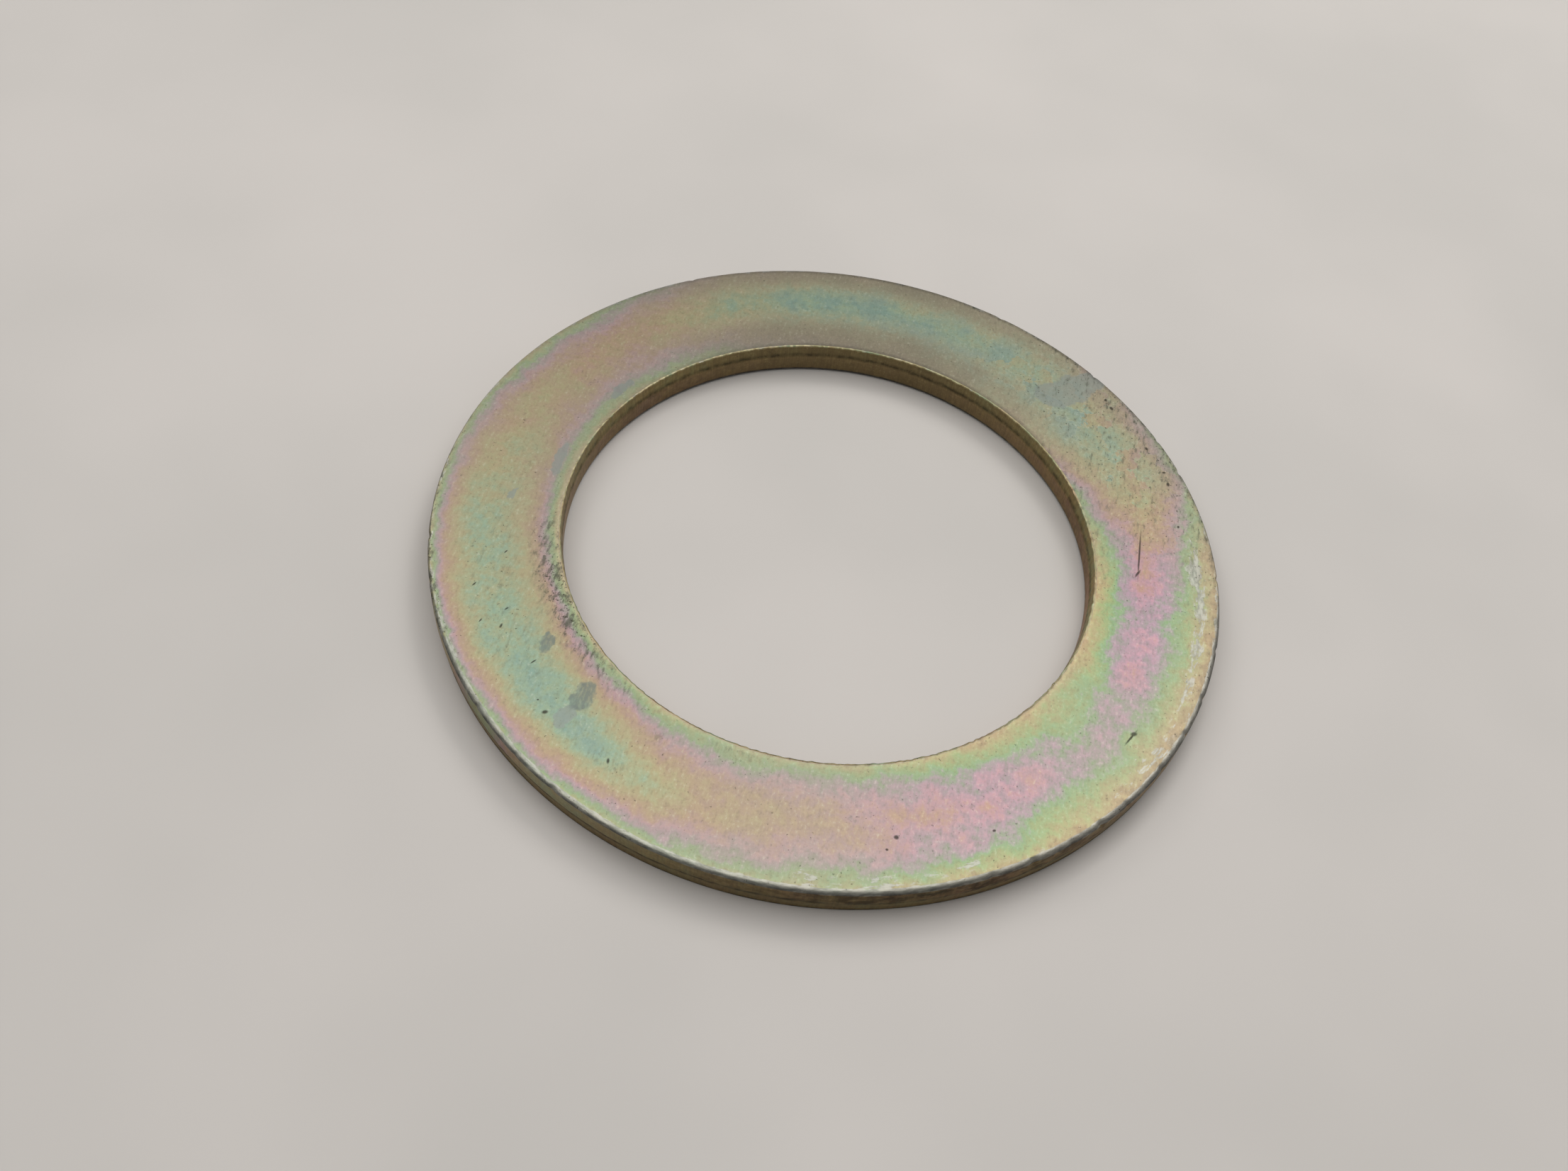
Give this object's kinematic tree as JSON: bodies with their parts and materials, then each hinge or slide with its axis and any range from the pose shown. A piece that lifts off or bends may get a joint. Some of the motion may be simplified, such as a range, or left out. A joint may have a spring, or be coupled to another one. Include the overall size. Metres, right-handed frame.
{
  "type": "flat washer",
  "caption": "Thin wide-bore punched steel ring that spreads load or fills axial play on a shaft or bolt, yellow zinc plated.",
  "frame": {"origin": "centre of the underside, on the washer's axis, in the plane that it rests on", "axes": "+Z is the axis of the bore and points out of the top face, the face whose outer edge is rolled; X and Y are any two directions across the ring"},
  "size_m": [0.0762, 0.0762, 0.0034],
  "materials": {
    "yellow_zinc": "zinc plate with a yellow chromate film: satin, with soft pink, green and gold interference colours"
  },
  "bodies": {
    "root": {"washer": "yellow_zinc"}
  },
  "joints": []
}
